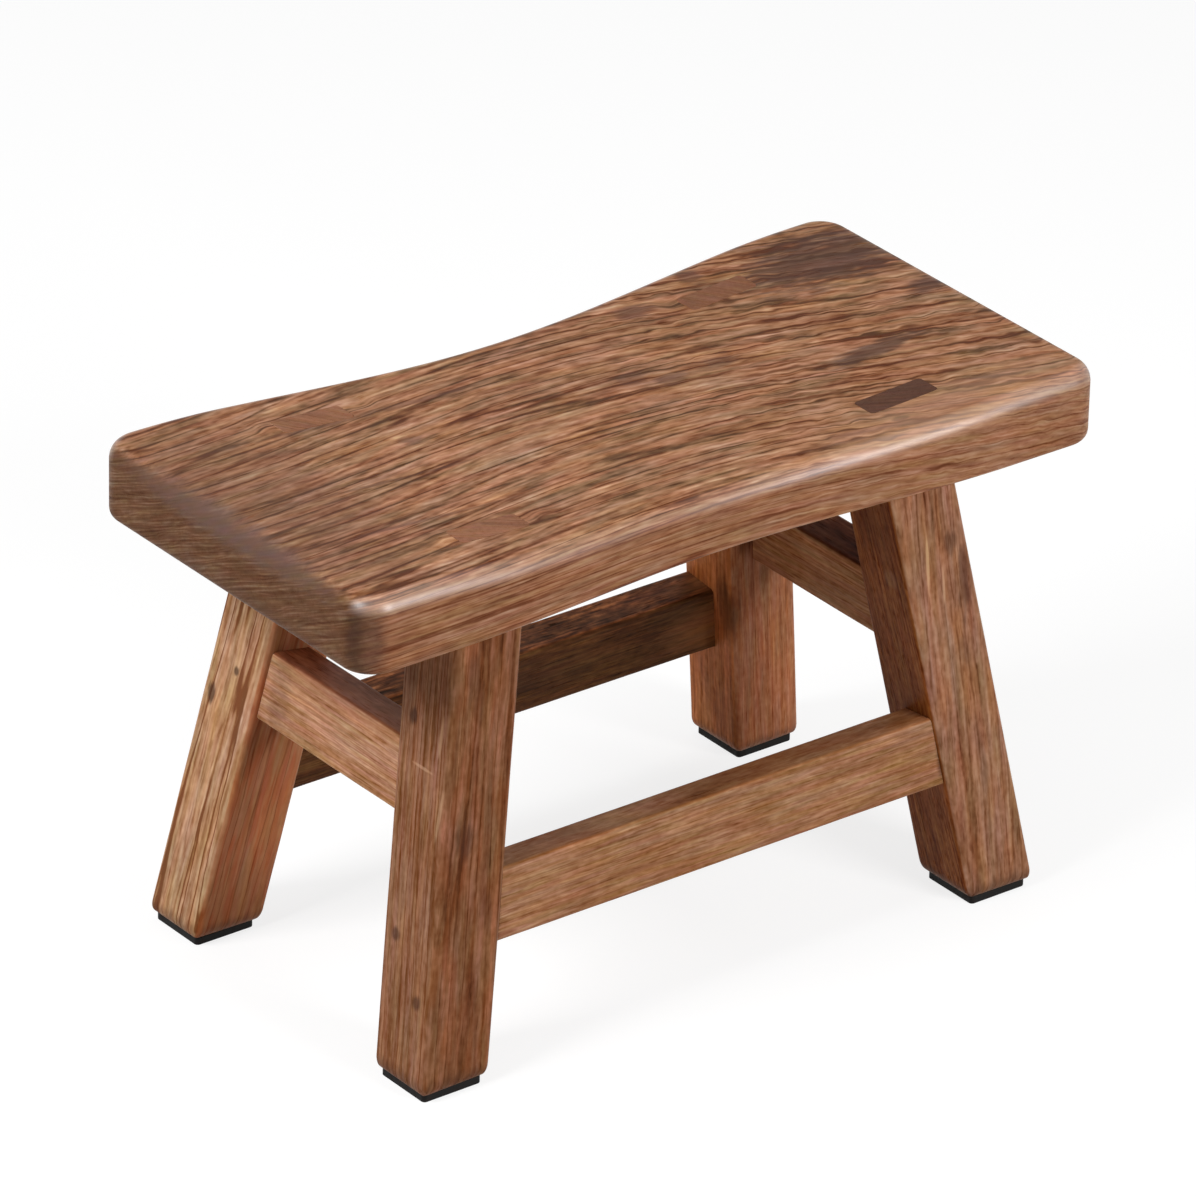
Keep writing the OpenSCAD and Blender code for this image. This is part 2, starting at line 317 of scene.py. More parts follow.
def leg_tree(block, sanding, lean, tenon):
    """A square splayed leg with its through tenon, at the corner that End and Side name."""
    tree, given = new_tree("splayed leg", LEAN + DISH + TENON + floats(
        "Arris", "Foot", "Foot Round", "Foot Ease") + HAND + CORNER)
    length = add(tree, MATH, [given["Seat Under"], given["Foot"]], operation="SUBTRACT")
    body = add(tree, GROUP, {
        "Width": given["Size"], "Depth": given["Size"], "Height": length,
        "Corner": given["Arris"], "Top Round": 0.0, "Bottom Round": given["Foot Round"],
        "Across": 31, "Along": 31, "Up": 121,
    }, node_tree=block)
    place = add(tree, "GeometryNodeInputPosition")
    height = add(tree, SPLIT, [place]).outputs["Z"]
    # The foot's round is drawn out upwards, as a knife or a rasp leaves it.
    ease = add(tree, MATH, [height, given["Foot Round"]], operation="DIVIDE", use_clamp=True)
    rest = add(tree, MATH, [height, length], operation="DIVIDE")
    rest = add(tree, MATH, [1.0, rest], operation="SUBTRACT")
    ease = steps(tree, MATH, ease, ("MULTIPLY", rest), ("MULTIPLY", given["Foot Ease"]))
    level = steps(tree, MATH, height, ("ADD", ease), ("ADD", given["Foot"]))
    body = add(tree, GROUP, passed(given, LEAN[1:], {
        "Mesh": body, "Section": place, "Level": level}), node_tree=lean)
    body = add(tree, GROUP, passed(given, HAND, {"Mesh": body}), node_tree=sanding)
    start = add(tree, MATH, [given["Seat Under"], 2 * MM], operation="SUBTRACT")
    peg = add(tree, GROUP, passed(given, LEAN + DISH + TENON, {
        "Gap": 0.0, "Past": 0.0, "Start": start}), node_tree=tenon)
    both = add(tree, "GeometryNodeJoinGeometry")
    tree.links.new(body.outputs[0], both.inputs[0])
    tree.links.new(peg.outputs[0], both.inputs[0])
    close_tree(tree, quarter(tree, both, given["End"], given["Side"]), given["Finish"])
    return tree


def seat_tree(block, sanding, dish, tenon):
    """The seat board: dished along its length, waisted in plan, with its four mortises."""
    tree, given = new_tree("seat board", LEAN + DISH + TENON + floats(
        "Gap", "Length", "Width", "Corner", "Top Round", "Bottom Round", "Waist Depth",
        "Waist Half") + FINISH)
    thick = add(tree, MATH, [given["Seat Height"], given["Seat Under"]], operation="SUBTRACT")
    board = add(tree, GROUP, {
        "Width": given["Length"], "Depth": given["Width"], "Height": thick,
        "Corner": given["Corner"], "Top Round": given["Top Round"],
        "Bottom Round": given["Bottom Round"], "Across": 221, "Along": 111, "Up": 21,
    }, node_tree=block)
    x, y, z = add(tree, SPLIT, [add(tree, "GeometryNodeInputPosition")]).outputs
    # The waist is one full cosine wave, drawn into each long side about its middle.
    draw = steps(tree, MATH, x, ("DIVIDE", given["Waist Half"]),
                 ("MINIMUM", 1.0), ("MAXIMUM", -1.0), ("MULTIPLY", math.pi), ("COSINE",),
                 ("ADD", 1.0), ("MULTIPLY", given["Waist Depth"]), ("DIVIDE", given["Width"]))
    draw = add(tree, MATH, [1.0, draw], operation="SUBTRACT")
    across = add(tree, MATH, [y, draw], operation="MULTIPLY")
    fall = add(tree, GROUP, passed(given, DISH[1:], {"X": x}), node_tree=dish)
    share = add(tree, MATH, [z, given["Bottom Round"]], operation="SUBTRACT")
    span = steps(tree, MATH, thick, ("SUBTRACT", given["Bottom Round"]),
                 ("SUBTRACT", given["Top Round"]))
    share = add(tree, MATH, [share, span], operation="DIVIDE", use_clamp=True)
    fall = add(tree, MATH, [fall, share], operation="MULTIPLY")
    level = steps(tree, MATH, z, ("ADD", given["Seat Under"]), ("SUBTRACT", fall))
    goal = add(tree, JOIN, [x, across, level])
    board = add(tree, "GeometryNodeSetPosition", {"Geometry": board, "Position": goal})
    start = add(tree, MATH, [given["Seat Under"], 4 * MM], operation="SUBTRACT")
    peg = add(tree, GROUP, passed(given, LEAN + DISH + TENON, {
        "Gap": given["Gap"], "Past": 4 * MM, "Start": start}), node_tree=tenon)
    pegs = add(tree, "GeometryNodeJoinGeometry")
    for end, side in ((1, 1), (1, -1), (-1, 1), (-1, -1)):
        turned = add(tree, "GeometryNodeTransform", {"Geometry": peg, "Scale": (end, side, 1)})
        if end * side < 0:
            turned = add(tree, "GeometryNodeFlipFaces", [turned])
        tree.links.new(turned.outputs[0], pegs.inputs[0])
    board = add(tree, "GeometryNodeMeshBoolean", {0: board, 1: pegs},
                operation="DIFFERENCE", solver="MANIFOLD")
    close_tree(tree, board, given["Finish"])
    return tree


def rail_tree(block, sanding):
    """A rail between two legs, tilted with them, its ends cut to their inner faces.
    It is built at the back and turned about the seat's middle by Turn."""
    tree, given = new_tree("rail", floats(
        "Thickness", "Height", "Arris", "Tilt", "Place", "Level", "End", "End Across",
        "End Up", "Turn") + HAND + FINISH)
    bar = add(tree, GROUP, {
        "Width": given["Thickness"], "Depth": given["Height"], "Height": 2.0,
        "Corner": given["Arris"], "Across": 25, "Along": 31, "Up": 91,
    }, node_tree=block)
    x, y, z = add(tree, SPLIT, [add(tree, "GeometryNodeInputPosition")]).outputs
    sine = add(tree, MATH, [given["Tilt"]], operation="SINE")
    cosine = add(tree, MATH, [given["Tilt"]], operation="COSINE")
    turned = []
    for first, second, sign in ((cosine, sine, -1.0), (sine, cosine, 1.0)):
        part = add(tree, MATH, [x, first], operation="MULTIPLY")
        other = add(tree, MATH, [y, second], operation="MULTIPLY")
        turned.append(add(tree, MATH, [other, sign, part], operation="MULTIPLY_ADD"))
    across = add(tree, MATH, [turned[0], given["Place"]], operation="ADD")
    above = add(tree, MATH, [turned[1], given["Level"]], operation="ADD")
    reach = add(tree, MATH, [across, given["End Across"], given["End"]], operation="MULTIPLY_ADD")
    reach = add(tree, MATH, [above, given["End Up"], reach], operation="MULTIPLY_ADD")
    along = steps(tree, MATH, z, ("SUBTRACT", 1.0), ("MULTIPLY", reach))
    goal = add(tree, JOIN, [along, across, above])
    bar = add(tree, "GeometryNodeSetPosition", {"Geometry": bar, "Position": goal})
    bar = add(tree, GROUP, passed(given, HAND, {"Mesh": bar}), node_tree=sanding)
    turn = add(tree, JOIN, [0.0, 0.0, given["Turn"]])
    bar = add(tree, "GeometryNodeTransform", {"Geometry": bar, "Rotation": turn})
    close_tree(tree, bar, given["Finish"])
    return tree


def pad_tree(block, sanding):
    """A moulded square pad on the floor, under the foot that End and Side name."""
    tree, given = new_tree("foot pad", floats(
        "Size", "Thickness", "Corner", "Edge Round", "Pad X", "Pad Y") + HAND + CORNER)
    pad = add(tree, GROUP, {
        "Width": given["Size"], "Depth": given["Size"], "Height": given["Thickness"],
        "Corner": given["Corner"], "Top Round": given["Edge Round"],
        "Bottom Round": given["Edge Round"], "Across": 41, "Along": 41, "Up": 13,
    }, node_tree=block)
    pad = add(tree, GROUP, passed(given, HAND, {"Mesh": pad}), node_tree=sanding)
    centre = add(tree, JOIN, [given["Pad X"], given["Pad Y"], 0.0])
    pad = add(tree, "GeometryNodeTransform", {"Geometry": pad, "Translation": centre})
    close_tree(tree, quarter(tree, pad, given["End"], given["Side"]), given["Finish"])
    return tree


# What makes up the figure of the wood. Each is a noise whose features have this size in mm
# along the grain, through the growth layers and across them, with its detail and roughness.
FIGURE = {
    "drift": ((120, 20, 40), 0.0, 0.5),
    "waver": ((22, 2.8, 9), 1.0, 0.5),
    "ripple": ((6, 2.4, 4), 0.0, 0.5),
    "streaks": ((28, 0.72, 26), 0.5, 0.5),
    "layers": ((60, 3, 20), 0.0, 0.5),
    "lines": ((150, 2.4, 28), 0.0, 0.5),
    "flecks": ((5, 0.5, 1.4), 0.0, 0.5),
    "patches": ((9, 1.3, 3.5), 1.0, 0.5),
    "clouds": ((34, 4, 20), 2.0, 0.55),
    "mottle": ((2.6, 1.6, 1.8), 1.0, 0.5),
    "tint": ((22, 2.0, 8), 1.0, 0.5),
    # Real pores are 0.2 mm wide, and these are drawn at twice that so that they show.
    "pores": ((6, 0.4, 0.5), 0.0, 0.5),
}
# How thick a growth layer is, in mm, and how far its phase slips, in radians.
LAYER_THICKNESS, LAYER_SLIP = 1.6, 30.0
# Where along the seat, in mm, its long edges are worn the dullest.
DULL_MIDDLE = -30.0
# The bow of a board's grain is given within this reach of its middle, from this least
# shift and over this span, in mm.
BOW_REACH, BOW_LEAST, BOW_SPAN = 152.0, -40.0, 50.0
# The points, above the floor's middle, from which the seat's marks and the rails' are placed.
SEAT_ORIGIN, RAIL_ORIGIN = (0, 0, 0.17), (0, 0, 0.06)
WEIGHTS = ("Wander", "Waver", "Ripple", "Streaks", "Layers", "Lines", "Flecks", "Patches",
           "Clouds", "Pores", "Mottle")


def grain_noise(tree, place, size, detail, rough=0.5):
    """A noise whose features have this size in mm along the grain, through it and across."""
    scaled = add(tree, VECTOR, [place, size], operation="DIVIDE")
    return add(tree, NOISE, {
        "Vector": scaled, "Scale": 1.0, "Detail": detail, "Roughness": rough})


def apart(tree, place, centre, reach):
    """How far a place is from a centre, where 1 is at the reach along each axis."""
    return steps(tree, VECTOR, place, ("SUBTRACT", centre),
                 ("MULTIPLY", [1 / r for r in reach]), ("LENGTH",))


def figure_group():
    """Figure of a coarse brown hardwood at a place in mm on the timber: X runs along the
    grain, Y through the growth layers. Gives its tone, its tint and its open pores."""
    tree, given = new_tree(
        "hardwood figure", [("Place", "NodeSocketVector")] + floats("Seed", *WEIGHTS),
        ["Tone", "Tint", "Pore"], "ShaderNodeTree")
    shift = add(tree, VECTOR, [(137.0, 61.0, 89.0), given["Seed"]], operation="MULTIPLY")
    place = add(tree, VECTOR, [given["Place"], shift], operation="ADD")
    tone, found = None, {}
    for name, (size, detail, rough) in FIGURE.items():
        found[name] = grain_noise(tree, place, size, detail, rough)
        if name in ("tint", "pores"):
            continue
        if name == "layers":
            # The phase of the growth layers slips, so that they are never even.
            phase = add(tree, MATH, [found[name], LAYER_SLIP], operation="MULTIPLY")
            across = add(tree, SPLIT, [place]).outputs["Y"]
            found[name] = steps(
                tree, MATH, across, ("MULTIPLY_ADD", 2 * math.pi / LAYER_THICKNESS, phase),
                ("SINE",), ("MULTIPLY_ADD", 0.25, 0.5))
        part = add(tree, MATH, [found[name], 0.5], operation="SUBTRACT")
        if name == "lines":
            # A thin dark line wherever this noise crosses its middle.
            part = add(tree, MATH, [part], operation="ABSOLUTE")
            part = add(tree, RANGE, [part, 0.0, 0.06, -1.0, 0.0], **EASED)
        if name in ("drift", "waver", "ripple"):
            # The growth layers wander, waver and ripple, and what follows is drawn on them.
            weight = given["Wander" if name == "drift" else name.title()]
            part = add(tree, MATH, [part, weight], operation="MULTIPLY")
            part = add(tree, JOIN, [0.0, part, 0.0])
            place = add(tree, VECTOR, [place, part], operation="ADD")
        else:
            tone = add(tree, MATH, [part, given[name.title()], 0.5 if tone is None else tone],
                       operation="MULTIPLY_ADD")
    pore = add(tree, RANGE, [found["pores"], 0.62, 0.72], **EASED)
    dark = add(tree, MATH, [pore, given["Pores"]], operation="MULTIPLY")
    tone = add(tree, MATH, [tone, dark], operation="SUBTRACT")
    add(tree, "NodeGroupOutput", [tone, found["tint"], pore])
    return tree


def ramp(tree, factor, palette):
    """A colour ramp through a palette's evenly spaced colours, from the darkest on."""
    codes = palette.split()
    node = add(tree, "ShaderNodeValToRGB", [factor])
    stops = node.color_ramp.elements
    while len(stops) < len(codes):
        stops.new(0.5)
    for index, code in enumerate(codes):
        stops[index].position = index / (len(codes) - 1)
        stops[index].color = linear(code)
    return node


def hardwood(name, along, layers, seed, tones, tints, weights, origin, bow=(), hooks=(),
             marks=(), lively=None, faces=(), end="Z", coat=0.0, edge_wear_and_highlight=0.1):
    """A brown hardwood, sawn, planed, stained and lacquered to a satin.

    The eye sees dark streaks and short open pores along the grain, clouds of tone, a soft
    warm sheen that the pores break up, and paler arrises, partly wood that rubbing has worn
    and partly a painted highlight. Along is the way of the grain and layers the way through
    the growth layers. Bow says how far the grain leaves a straight line at places along it,
    and a hook is a place where it swings further, its radius and how far. A mark is a place
    in mm from the origin, its reach, how strong and how ragged it is, and its colour; some
    marks are painted shade and some painted light. Lively is an axis, where the ripples start
    and stop growing along it, and their weights there. Faces gives those of an axis, or the
    left one, their own contrast and colours, and End is the axis whose faces cut across the
    grain."""
    made = bpy.data.materials.new(name)
    tree = cleared(made)
    seen = add(tree, "ShaderNodeTexCoord")
    flat = add(tree, MAP, {
        "Vector": seen.outputs["Object"], "Location": origin, "Scale": (MM, MM, MM),
    }, vector_type="TEXTURE")
    here, part = flat, add(tree, SPLIT, [flat])
    middle = part.outputs["X"]
    if bow:
        # How far the board's grain leaves a straight line, in mm, from one end to the other.
        run = add(tree, RANGE, [middle, -BOW_REACH, BOW_REACH])
        curve = add(tree, "ShaderNodeFloatCurve", {"Value": run})
        points = curve.mapping.curves[0].points
        while len(points) < len(bow):
            points.new(0.5, 0.5)
        for point, (x, y) in zip(points, bow):
            point.location = ((x / BOW_REACH + 1) / 2, (y - BOW_LEAST) / BOW_SPAN)
        curve.mapping.update()
        shift = add(tree, MATH, [curve, BOW_SPAN, BOW_LEAST], operation="MULTIPLY_ADD")
        for x, y, radius, amount in hooks:
            near = apart(tree, flat, (x, y, 0), (radius, radius, math.inf))
            near = add(tree, RANGE, [near, 1.0, 0.0, 0.0, amount], **EASED)
            shift = add(tree, MATH, [shift, near], operation="ADD")
        shift = add(tree, JOIN, [0.0, shift, 0.0])
        here = add(tree, VECTOR, [flat, shift], operation="SUBTRACT")
    x_axis = Vector(along).normalized()
    y_axis = (Vector(layers) - x_axis * x_axis.dot(Vector(layers))).normalized()
    turn = Matrix((x_axis, y_axis, x_axis.cross(y_axis))).transposed().to_euler()
    place = add(tree, MAP, {"Vector": here, "Rotation": turn}, vector_type="TEXTURE")
    figure = {"Place": place, "Seed": seed}
    figure.update(zip(WEIGHTS, weights))
    facing = add(tree, VECTOR, [seen.outputs["Normal"]], operation="ABSOLUTE")
    facing = add(tree, SPLIT, [facing])
    # How far a point faces along each axis, either way, and how far it faces left and up.
    turned = {axis: facing.outputs[axis] for axis in "XYZ"}
    signed = add(tree, SPLIT, [seen.outputs["Normal"]])
    turned["left"] = add(tree, MATH, [signed, -1.0], operation="MULTIPLY")
    turned["up"] = signed.outputs["Z"]
    for label in ("Lines", "Flecks", "Patches", "Pores"):
        # What is thin or short hardly shows where the timber is cut across.
        figure[label] = add(tree, RANGE, [
            turned[end], 0.5, 0.9, figure[label], figure[label] * 0.15], **EASED)
    if lively:
        # The ripples grow towards one end of the piece.
        figure["Ripple"] = add(tree, RANGE, [
            part.outputs[lively[0]], *lively[1:]], **EASED)
    figure = add(tree, "ShaderNodeGroup", figure, node_tree=hardwood_figure)
    tone = figure.outputs["Tone"]
    shares = []
    for axis, contrast, _ in faces:
        # The same grain is bolder on one face of a timber than on the next.
        low, high = (0.75, 0.95) if axis == "left" else (0.5, 0.9)
        share = add(tree, RANGE, [turned[axis], low, high], **EASED)
        shares.append(share)
        part = steps(tree, MATH, tone, ("SUBTRACT", 0.5), ("MULTIPLY", share))
        tone = add(tree, MATH, [part, contrast - 1, tone], operation="MULTIPLY_ADD")

    # Wear with its painted highlight, and marks, have ragged outlines, drawn out along the grain.
    ragged = grain_noise(tree, place, (9, 0.9, 4), 2.0)
    # The arrises are made paler: partly wood worn by rubbing, partly a painted highlight.
    arris = steps(tree, MATH, turned["X"], ("MAXIMUM", turned["Y"]), ("MAXIMUM", turned["Z"]))
    arris = add(tree, RANGE, [arris, 0.97, 0.82], **EASED)
    worn_and_lit = add(tree, RANGE, [ragged, 0.4, 0.6, 0.0, edge_wear_and_highlight])
    tone = add(tree, MATH, [worn_and_lit, arris, tone], operation="MULTIPLY_ADD")

    colour, other = ramp(tree, tone, tones), ramp(tree, tone, tints)
    share = add(tree, RANGE, [figure.outputs["Tint"], 0.42, 0.62], **EASED)
    colour = add(tree, "ShaderNodeMix", {0: share, 6: colour, 7: other}, data_type="RGBA")
    for share, (_, _, palette) in zip(shares, faces):
        if palette:
            # Another face of the timber took the stain, or grew, in another colour. Some of these
            # colours also hold painted light, for faces that stand in shade.
            cut = ramp(tree, tone, palette)
            colour = add(tree, "ShaderNodeMix", {0: share, 6: colour, 7: cut}, data_type="RGBA")
    for centre, reach, amount, rough, code in marks:
        near = apart(tree, flat, centre, reach)
        near = add(tree, MATH, [ragged, -rough, near], operation="MULTIPLY_ADD")
        near = add(tree, RANGE, [near, 1.0 - rough / 2, 0.4 - rough / 2, 0.0, amount], **EASED)
        colour = add(tree, "ShaderNodeMix", {0: near, 6: colour, 7: linear(code)},
                     data_type="RGBA")
    # The red and the blue of the wood rise and fall each by itself, in long soft flames.
    hue = grain_noise(tree, place, (26, 2.4, 9), 1.0).outputs["Color"]
    hue = add(tree, VECTOR, [hue, (0.36, 0.0, 0.6), (0.82, 1.0, 0.7)], operation="MULTIPLY_ADD")
    colour = add(tree, VECTOR, [colour, hue], operation="MULTIPLY")
    rough = add(tree, RANGE, [tone, 0.1, 0.9, 0.53, 0.39])
    rough = add(tree, MATH, [figure.outputs["Pore"], 0.25, rough], operation="MULTIPLY_ADD")
    height = add(tree, MATH, [figure.outputs["Pore"], -0.7, tone], operation="MULTIPLY_ADD")
    bump = add(tree, "ShaderNodeBump", {"Strength": 0.4, "Distance": 0.1 * MM, "Height": height})
    shader = add(tree, "ShaderNodeBsdfPrincipled", {
        "Base Color": colour, "Roughness": rough, "IOR": 1.45, "Normal": bump,
        "Specular IOR Level": 0.1, "Specular Tint": linear("#ffd9b8"), "Coat Weight": 0.0,
        "Coat Roughness": 0.42, "Coat IOR": 1.85,
    })
    if coat:
        # The lacquer shines over the long upper edges, where hands rub it, and the middle
        # of them is worn dull by legs.
        lacquer = add(tree, RANGE, [turned["up"], 0.05, 0.35])
        edge = add(tree, RANGE, [turned["Y"], 0.15, 0.5])
        dull = steps(tree, MATH, middle, ("SUBTRACT", DULL_MIDDLE), ("ABSOLUTE",))
        dull = add(tree, RANGE, [dull, 10.0, 75.0, 0.45])
        lacquer = steps(tree, MATH, lacquer, ("MULTIPLY", edge), ("MULTIPLY", dull))
        lacquer = add(tree, RANGE, [lacquer, 0.0, 1.0, 0.03, coat])
        tree.links.new(lacquer.outputs[0], shader.inputs["Coat Weight"])
    add(tree, "ShaderNodeOutputMaterial", [shader])
    return made


hardwood_figure = figure_group()
# The colours of marks: knots, pale scratches, and where the stain lies dark. The knot and dark
# stain colours also paint shade in some places.
KNOT_AND_SHADE, SCRATCH, DARK_STAIN_AND_SHADE, PURPLE_STAIN = "#3d241a", "#cfa988", "#54362a", "#492e24"
# Marks on the seat's top, by their colours: the middle, the half length and half width
# in mm, how strong they are and how ragged.
TOP_MARKS = (
    (PURPLE_STAIN, ((127, 44, 40, 25, 0.8, 1.5), (101, -18, 26, 6, 0.8, 1.4),
        (143, 8, 11, 8, 0.8, 1.2))),
    (DARK_STAIN_AND_SHADE, ((54, 8, 9, 6, 0.5, 1.4), (34, 8, 8, 6, 0.5, 1.4), (23, 16, 8, 5, 0.45, 1.4),
        (54, 55, 11, 6, 0.6, 1.4), (84, 63, 6, 8, 0.6, 1.4), (-65, 18, 6, 5, 0.5, 1.4),
        (-130, -24, 12, 6, 0.4, 1.4), (-138, -13, 10, 7, 0.35, 1.4),
        (-63, 42.5, 80, 2.4, 0.5, 1.2), (-95, -3.5, 56, 1.2, 0.5, 0.8),
        (-100, -33, 50, 1.3, 0.5, 0.8))),
    (KNOT_AND_SHADE, ((75, -61, 4, 2, 0.7, 1.0),)),
)
seat_wood = hardwood(
    "brown hardwood board, sanded and lacquered", (1, 0, 0), (0, 0.41, 0.912), 3.0,
    "#50250c #744529 #976747 #b48363 #cea784",
    "#482914 #6a482d #906648 #ac8163 #c4a081",
    (1.5, 0.35, 0.2, 0.82, 0.25, 0.42, 0.33, 0.7, 0.33, 0.08, 0.2), SEAT_ORIGIN,
    bow=((-152, -5), (-120, -4), (-90, -2.5), (-60, -0.5), (-30, 0.7), (0, 0), (30, -2.5),
         (60, -8), (90, -15.5), (120, -23), (152, -31)),
    hooks=((-101, 50, 7, 1.6), (-63, 50, 7, -1.6), (-101, -47, 7, 1.3), (-62, -47, 7, 1.3),
           (66, 51, 8, -2.4), (102, 48, 7, 1.3), (66, -47, 7, 1.6), (102, -48, 6, -1.3)),
    marks=(*(((x, y, 0), (wide, deep, 99), amount, rough, colour)
             for colour, spots in TOP_MARKS for x, y, wide, deep, amount, rough in spots),
           # Painted shade: the left part of the top is darkened, as if less light fell on it.
           ((-135, 0, 20), (50, 90, 14), 0.38, 0.8, DARK_STAIN_AND_SHADE),
           # Paler wood along the right part of the front top edge, which is partly a painted
           # highlight.
           ((85, -66, 18), (75, 20, 12), 0.35, 0.8, "#b68e70"),
           # Painted sheen: a grey-purple band over the top of the left end, where the lacquer
           # catches the light.
           ((-154, 0, 17), (11, 84, 11), 0.75, 0.4, "#644e46"),
           ((-153, -8, -9), (9, 70, 9), 0.35, 0.6, "#4e382c"),
           ((-149, -70, 3), (10, 9, 20), 0.65, 0.5, "#3a2823")),
    lively=("X", 0.0, 60.0, 0.1, 1.3), end="X",
    faces=(("X", 1.25, "#3b1a07 #503019 #5d3d27 #71543d #826c58"),
           ("Y", 0.6, "#4c2205 #6a3e28 #8b6146 #a27e64 #b7a089")),
    coat=1.0, edge_wear_and_highlight=0.12)

RED = ("#46230f #603820 #764f36 #8d634c #a5826e",
       "#4c260e #66381d #7a4d33 #926249 #a87f66")
DEEP_RED = ("#5d2a16 #834a2e #a26c4e #bb8969 #d8b396",
            "#672d13 #884a2b #a66a48 #c18864 #dbaf8b")
BROWN = ("#4a2713 #6b452e #89624b #a17c66 #b8957d",
         "#512b17 #71452d #8d6146 #a47b61 #ba9377")
TAN = ("#6b2e13 #875538 #9e6b4a #ad7b5b #bb9171",
       "#76381b #8c4e2f #9d5c3d #ac6f4b #b88662")
DARK_END = "#2e1911 #41261b #4f3123 #5e3c2c #6e4937"
RED_END = "#4a2a18 #6e452e #86583e #976a4d #a97c5f"
MID_END = "#432616 #653f2a #7b5039 #8b6147 #9b7258"
# How bold the grain is on each leg's left face and on its front and back, and the left
# face's colours. The right legs' left faces stand under the seat, and their colours are
# warmed, and at the back right brightened, as painted light.
LEG_SIDES = {
    "front_left": (1.2, 1.0, "#613413 #73472b #875e45 #9a7156 #b1876a"),
    "front_right": (1.5, 1.05, "#582509 #6e3813 #834a22 #985e2f #ae713e"),
    "back_left": (1.15, 0.52, "#734529 #8e6342 #ac8464 #c39e7e #dbba99"),
    "back_right": (1.0, 0.75, "#804420 #9c5a2e #bb7242 #d88c58 #f3a76f"),
}
# How far a mark's middle is from the leg's middle line, and how deep the mark goes, in mm.
MARK_OUT, MARK_DEPTH = 14, 5
# Each leg: its colours, seed, way through the growth layers, how its grain slopes, the
# weights of its figure, its marks, and the colours of its tenon's end. A mark names its
# face, how far right of the leg's middle line it is, its height, its half width and half
# height in mm, how dark it is or, below 0, how pale, and how ragged.
LEGS = {
    "front_left": (
        RED, 21.0, (0.55, 0.85, 0), (0, 0),
        (2, 0.5, 0.3, 0.42, 0.1, 0.26, 0.22, 0.38, 0.7, 0.12, 0.32),
        (("side", -5.4, 122.6, 2.6, 4.0, 0.8, 0.6), ("side", -6.4, 50, 2.6, 3.2, 0.7, 0.6),
         ("side", -8, 132, 6, 26, 0.3, 1.2), ("side", 1, 78, 4, 30, 0.2, 1.4),
         ("side", 6.8, 32.4, 2.6, 3.4, 0.7, 0.6), ("side", 1, 108, 7, 0.8, -0.35, 0.6),
         ("side", 9.5, 121, 1.4, 9, -0.35, 0.5), ("side", 11.5, 96, 1.0, 12, -0.3, 0.6),
         ("front", -4.5, 138, 4, 15, 0.4, 1.2), ("front", -4.5, 86, 4, 9, 0.5, 1.2),
         ("front", 7, 60, 3, 12, 0.3, 1.2)), RED_END),
    "front_right": (
        BROWN, 22.0, (0.5, 0.86, 0), (0.12, 0),
        (2, 0.4, 0.2, 0.45, 0.1, 0.18, 0.2, 0.28, 0.42, 0.13, 0.34),
        (("front", 9, 118, 3, 20, 0.6, 1.4), ("front", 6, 132, 3, 6, 0.5, 1.2),
         ("front", 3, 92, 3, 7, 0.35, 1.4), ("front", -4, 128, 0.9, 14, -0.5, 0.6),
         # The wide dark mark at the top of the left face is painted shade under the seat.
         ("front", 0.5, 118, 0.8, 9, -0.4, 0.6), ("side", 0, 142, 14, 26, 0.28, 0.8),
         ("side", 4, 120, 4.5, 4.5, -0.15, 0.5)), DARK_END),
    "back_left": (
        TAN, 23.0, (0.8, 0.6, 0), (0, 0),
        (3, 1.0, 0.3, 0.56, 0.15, 0.6, 0.15, 0.52, 0.45, 0.08, 0.25),
        (("side", 0.9, 100, 1.8, 2.2, 0.8, 0.5), ("side", -8.7, 88, 2.6, 5, 0.8, 0.8)), RED_END),
    "back_right": (
        DEEP_RED, 24.0, (0.85, 0.5, 0), (0, 0),
        (2, 0.5, 0.2, 0.45, 0.12, 0.18, 0.22, 0.28, 0.38, 0.13, 0.3),
        # The first two marks, on the left half of the front face, are a painted shadow.
        (("front", -2, 108, 3, 8, 0.9, 0.5), ("front", -6, 99, 7, 14, 0.55, 0.7),
         ("side", 10, 64, 6, 24, 0.6, 0.7), ("side", 4, 100, 10, 14, 0.3, 0.8),
         ("front", 12, 80, 2, 40, 0.35, 1.0)), MID_END),
}
RAIL_TAN = ("#60351a #7e5337 #8e6349 #a2795e #b68f75",
            "#663f21 #815937 #936b4b #a77f5e #b89373")
TAN_TOP = "#6a3918 #8c5834 #9d6a45 #b38058 #c9986f"
RAIL_PINK = ("#744627 #916543 #a67a5b #b9916f #cdaa84",
             "#794c30 #96684c #aa7c62 #be9376 #d1aa8d")
RAIL_RED = ("#774523 #95633d #ab7953 #be8e65 #d3a778",
            "#7c4a2b #9a6645 #af7b59 #c2906c #d7a782")
# The short rails' tops, under the seat, are darker.
DARK_TOP = "#411b0a #592b14 #743f26 #8b5739 #a67351"
RAIL_DARK = ("#231005 #3a1f0e #4c2c15 #5d3920 #6c482b",
             "#271306 #3e230f #503218 #614023 #704e30")
# The back rail's top was left rough from the saw, so it took the stain unevenly.
ROUGH_TOP = "#241206 #432413 #603820 #824e2e #ac6e43"


